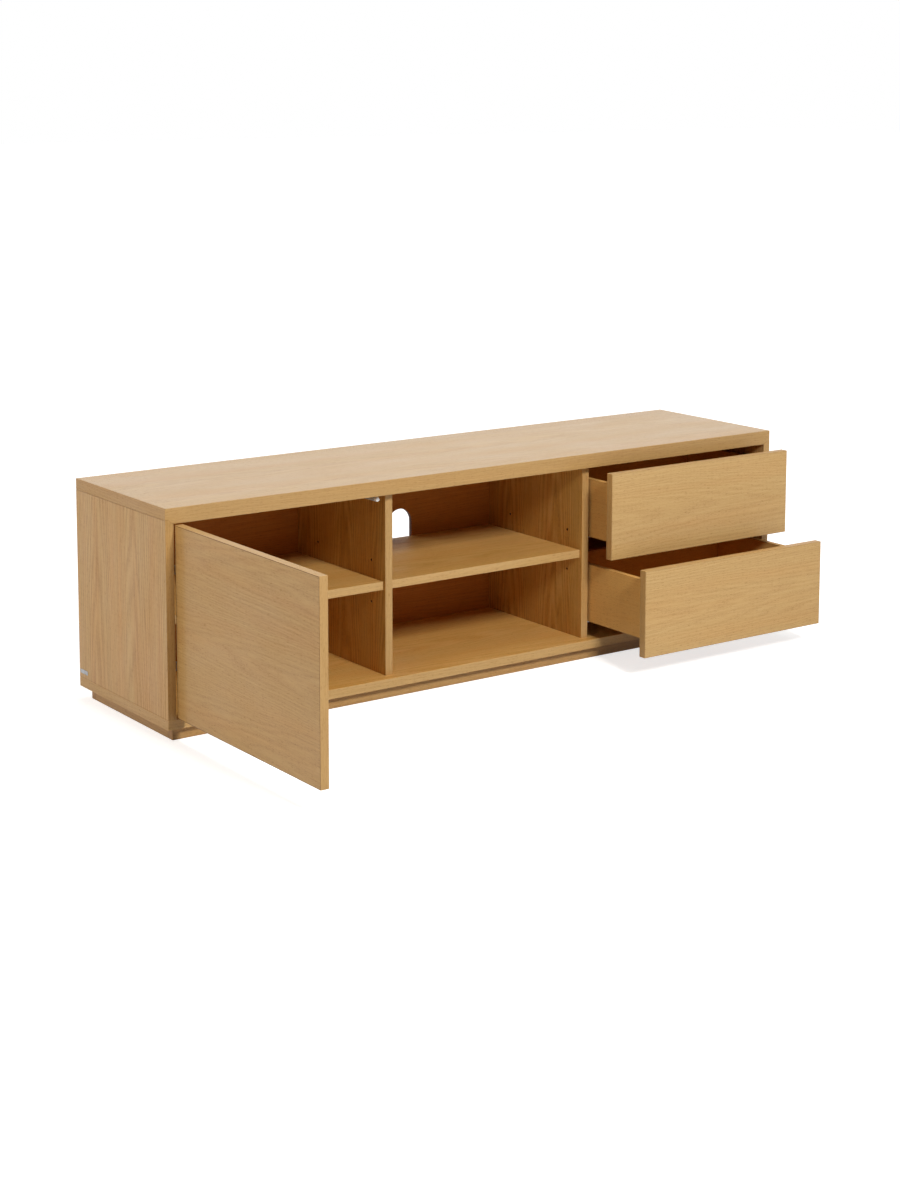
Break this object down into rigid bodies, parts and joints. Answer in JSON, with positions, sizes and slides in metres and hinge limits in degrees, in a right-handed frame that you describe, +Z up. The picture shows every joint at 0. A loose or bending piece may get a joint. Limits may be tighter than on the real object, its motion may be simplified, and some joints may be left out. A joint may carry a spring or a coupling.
{
  "type": "television stand",
  "caption": "Low oak-veneered television stand on a recessed plinth, with a hinged door, open shelved bay with cable slot, and handleless drawers.",
  "frame": {"origin": "on the floor, under the middle of the carcass, at the underside of the plinth's middle rail", "axes": "+Z up, +X along the length to the right seen from the front, -Y out of the front"},
  "size_m": [1.5006, 0.8573, 0.44],
  "materials": {
    "oak_veneer": "matt lacquered oak veneer with edge banding",
    "oak_backing": "matt oak veneer on thin board",
    "oak_drawer_box": "matt oak veneer",
    "steel": "satin",
    "zinc": "zinc plated",
    "latch_grey": "matt",
    "latch_white": "matt"
  },
  "bodies": {
    "carcass": {"top_panel": "oak_veneer", "bottom_panel": "oak_veneer", "side_left": "oak_veneer", "side_right": "oak_veneer", "divider_left": "oak_veneer", "divider_right": "oak_veneer", "back_panel": "oak_backing", "plinth_front": "oak_veneer", "plinth_back": "oak_veneer", "plinth_left": "oak_veneer", "plinth_right": "oak_veneer", "plinth_middle": "oak_veneer", "side_tag": "steel", "shelf_left": "oak_veneer", "shelf_middle": "oak_veneer", "shelf_pin_left_left_front": "steel", "shelf_pin_left_left_rear": "steel", "shelf_pin_left_right_front": "steel", "shelf_pin_left_right_rear": "steel", "shelf_pin_middle_left_front": "steel", "shelf_pin_middle_left_rear": "steel", "shelf_pin_middle_right_front": "steel", "shelf_pin_middle_right_rear": "steel", "hinge_arm_upper": "zinc", "hinge_plate_upper": "zinc", "hinge_pin_upper": "steel", "hinge_arm_lower": "zinc", "hinge_plate_lower": "zinc", "hinge_pin_lower": "steel", "latch_housing": "latch_grey", "runner_upper_left_fixed": "zinc", "runner_upper_right_fixed": "zinc", "runner_lower_left_fixed": "zinc", "runner_lower_right_fixed": "zinc"},
    "door": {"door_panel": "oak_veneer", "hinge_cup_upper": "zinc", "hinge_cup_lower": "zinc"},
    "link_upper": {"hinge_link_upper": "zinc"},
    "link_lower": {"hinge_link_lower": "zinc"},
    "plunger": {"latch_plunger": "latch_white"},
    "drawer_upper": {"drawer_upper_front": "oak_veneer", "drawer_upper_inner_front": "oak_drawer_box", "drawer_upper_side_left": "oak_drawer_box", "drawer_upper_side_right": "oak_drawer_box", "drawer_upper_back": "oak_drawer_box", "drawer_upper_bottom": "oak_backing", "runner_upper_left_sliding": "zinc", "runner_upper_right_sliding": "zinc"},
    "drawer_lower": {"drawer_lower_front": "oak_veneer", "drawer_lower_inner_front": "oak_drawer_box", "drawer_lower_side_left": "oak_drawer_box", "drawer_lower_side_right": "oak_drawer_box", "drawer_lower_back": "oak_drawer_box", "drawer_lower_bottom": "oak_backing", "runner_lower_left_sliding": "zinc", "runner_lower_right_sliding": "zinc"}
  },
  "joints": [
    {"name": "door_swing", "type": "hinge", "parent": "carcass", "child": "door", "pos_m": [-0.731, -0.1825, 0.227], "axis": [0, 0, 1], "range_deg": [-5, 90]},
    {"name": "link_upper_turn", "type": "hinge", "parent": "carcass", "child": "link_upper", "pos_m": [-0.715, -0.1565, 0.318], "axis": [0, 0, 1], "range_deg": [-5, 90]},
    {"name": "link_lower_turn", "type": "hinge", "parent": "carcass", "child": "link_lower", "pos_m": [-0.715, -0.1565, 0.136], "axis": [0, 0, 1], "range_deg": [-5, 90]},
    {"name": "latch_press", "type": "slide", "parent": "carcass", "child": "plunger", "axis": [0, 1, 0], "range_m": [0, 0.003], "stiffness_N_per_m": 500, "springref_m": -0.002},
    {"name": "upper_drawer_slide", "type": "slide", "parent": "carcass", "child": "drawer_upper", "axis": [0, -1, 0], "range_m": [-0.074, 0.146]},
    {"name": "lower_drawer_slide", "type": "slide", "parent": "carcass", "child": "drawer_lower", "axis": [0, -1, 0], "range_m": [-0.182, 0.038]}
  ],
  "couplings": [
    {"joint": "link_upper_turn", "follows": "door_swing", "ratio": 1},
    {"joint": "link_lower_turn", "follows": "door_swing", "ratio": 1}
  ]
}
